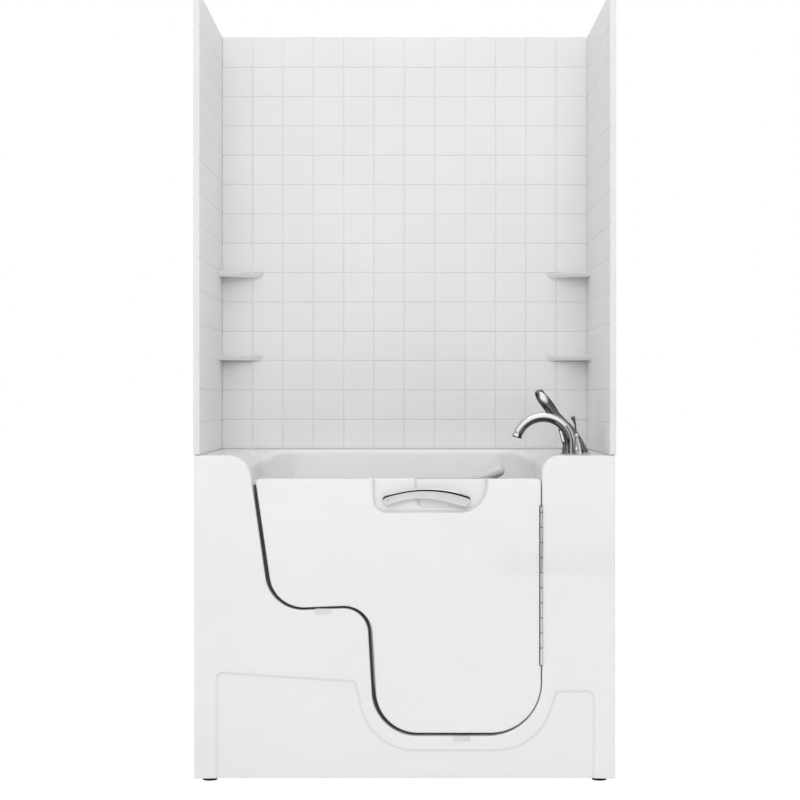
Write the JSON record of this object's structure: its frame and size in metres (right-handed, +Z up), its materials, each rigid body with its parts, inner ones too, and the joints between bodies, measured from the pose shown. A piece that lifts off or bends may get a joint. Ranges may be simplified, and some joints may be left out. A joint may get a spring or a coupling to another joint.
{
  "type": "walk-in air bath",
  "caption": "White walk-in air bath with a boot-shaped outward door on a continuous hinge, chrome deck taps, moulded seat, under-seat blower and a tiled wall surround with corner shelves.",
  "frame": {"origin": "on the floor under the middle of the unit", "axes": "+Z up, -Y out of the front with the door, +X to the hinge and tap side"},
  "size_m": [1.353, 0.7444, 2.53],
  "materials": {
    "acrylic_white": "gloss moulded acrylic",
    "door_white": "gloss moulded acrylic",
    "wall_panel_white": "gloss moulded tile pattern",
    "shelf_white": "gloss moulded",
    "lever_white": "gloss moulded",
    "pad_ivory": "satin moulded",
    "chrome": "polished plate",
    "hinge_steel": "brushed",
    "screw_steel": "bright",
    "latch_steel": "machined",
    "seal_rubber": "soft matte",
    "foam_core": "closed-cell foam",
    "frame_paint": "grey powder coat",
    "bracket_steel": "galvanised",
    "foot_black": "moulded",
    "sealant_white": "tooled bead",
    "valve_brass": "cast and machined",
    "pipe_copper": "drawn tube",
    "waste_white": "moulded pipe",
    "air_plastic": "moulded",
    "blower_black": "moulded",
    "motor_grey": "enamel",
    "impeller_plastic": "moulded"
  },
  "bodies": {
    "root": {"tub_shell": "acrylic_white", "front_apron": "acrylic_white", "base_frame": "frame_paint", "leveling_feet": "foot_black", "foot_locknuts": "screw_steel", "apron_brackets": "bracket_steel", "surround_back_panel": "wall_panel_white", "surround_left_panel": "wall_panel_white", "surround_right_panel": "wall_panel_white", "shelf_left_low": "shelf_white", "shelf_left_high": "shelf_white", "shelf_right_low": "shelf_white", "shelf_right_high": "shelf_white", "sealant_bed": "sealant_white", "door_rest_pad": "pad_ivory", "latch_keeper": "pad_ivory", "hinge_leaf_tub": "hinge_steel", "hinge_screws_tub": "screw_steel", "hinge_pin": "hinge_steel", "spout": "chrome", "spout_aerator": "chrome", "tap_roses": "chrome", "valve_bodies": "valve_brass", "mixer_pipes": "pipe_copper", "hand_shower_holder": "chrome", "drain_flange": "chrome", "waste_pipe": "waste_white", "overflow_plate": "chrome", "air_jets": "air_plastic", "floor_air_channel": "air_plastic", "seat_air_channel": "air_plastic", "blower_tray": "blower_black", "blower_housing": "blower_black", "blower_motor": "motor_grey", "check_valve": "air_plastic", "air_pipe": "air_plastic", "button_housing": "chrome", "control_box": "blower_black"},
    "door": {"door_outer_panel": "door_white", "door_inner_panel": "door_white", "door_core": "foam_core", "door_seal": "seal_rubber", "door_handle": "chrome", "handle_screws": "screw_steel", "hinge_leaf_door": "hinge_steel", "hinge_screws_door": "screw_steel", "latch_rose": "lever_white"},
    "latch_lever": {"latch_lever": "lever_white", "latch_spindle": "latch_steel", "latch_pinion": "latch_steel"},
    "latch_rod": {"latch_rod": "latch_steel"},
    "hot_handle": {"hot_handle": "chrome"},
    "cold_handle": {"cold_handle": "chrome"},
    "diverter_handle": {"diverter_handle": "chrome"},
    "hand_shower": {"hand_shower": "chrome"},
    "overflow_knob": {"overflow_knob": "chrome"},
    "drain_stopper": {"drain_stopper": "chrome"},
    "air_button": {"air_button": "chrome"},
    "blower_impeller": {"blower_impeller": "impeller_plastic"}
  },
  "joints": [
    {"name": "door_swing", "type": "hinge", "parent": "root", "child": "door", "pos_m": [0.4375, -0.36775, 0.63], "axis": [0, 0, 1], "range_deg": [0, 120]},
    {"name": "latch_turn", "type": "hinge", "parent": "door", "child": "latch_lever", "pos_m": [0.162, -0.29, 0.934], "axis": [0, 1, 0], "range_deg": [0, 90]},
    {"name": "latch_drop", "type": "slide", "parent": "door", "child": "latch_rod", "axis": [0, 0, -1], "range_m": [0, 0.022]},
    {"name": "hot_turn", "type": "hinge", "parent": "root", "child": "hot_handle", "pos_m": [0.526, -0.20175, 1.06], "axis": [0, 0, 1], "range_deg": [0, 90]},
    {"name": "cold_turn", "type": "hinge", "parent": "root", "child": "cold_handle", "pos_m": [0.582, -0.03475, 1.06], "axis": [0, 0, 1], "range_deg": [-90, 0]},
    {"name": "diverter_turn", "type": "hinge", "parent": "root", "child": "diverter_handle", "pos_m": [0.584, 0.06525, 1.06], "axis": [0, 0, 1], "range_deg": [0, 90]},
    {"name": "shower_lift", "type": "slide", "parent": "root", "child": "hand_shower", "axis": [0, 0, 1], "range_m": [0, 0.25]},
    {"name": "overflow_turn", "type": "hinge", "parent": "root", "child": "overflow_knob", "pos_m": [0.43, -0.00925, 0.88], "axis": [1, 0, 0], "range_deg": [0, 120]},
    {"name": "stopper_lift", "type": "slide", "parent": "root", "child": "drain_stopper", "axis": [0, 0, 1], "range_m": [0, 0.01]},
    {"name": "button_press", "type": "slide", "parent": "root", "child": "air_button", "axis": [0, 0, -1], "range_m": [0, 0.005], "stiffness_N_per_m": 400, "springref_m": -0.004},
    {"name": "impeller_spin", "type": "hinge", "parent": "root", "child": "blower_impeller", "pos_m": [-0.3, 0.066, 0.107], "axis": [0, 0, 1], "continuous": true}
  ],
  "couplings": [
    {"joint": "latch_drop", "follows": "latch_turn", "m_per_rad": 0.014},
    {"joint": "stopper_lift", "follows": "overflow_turn", "m_per_rad": 0.0047}
  ]
}
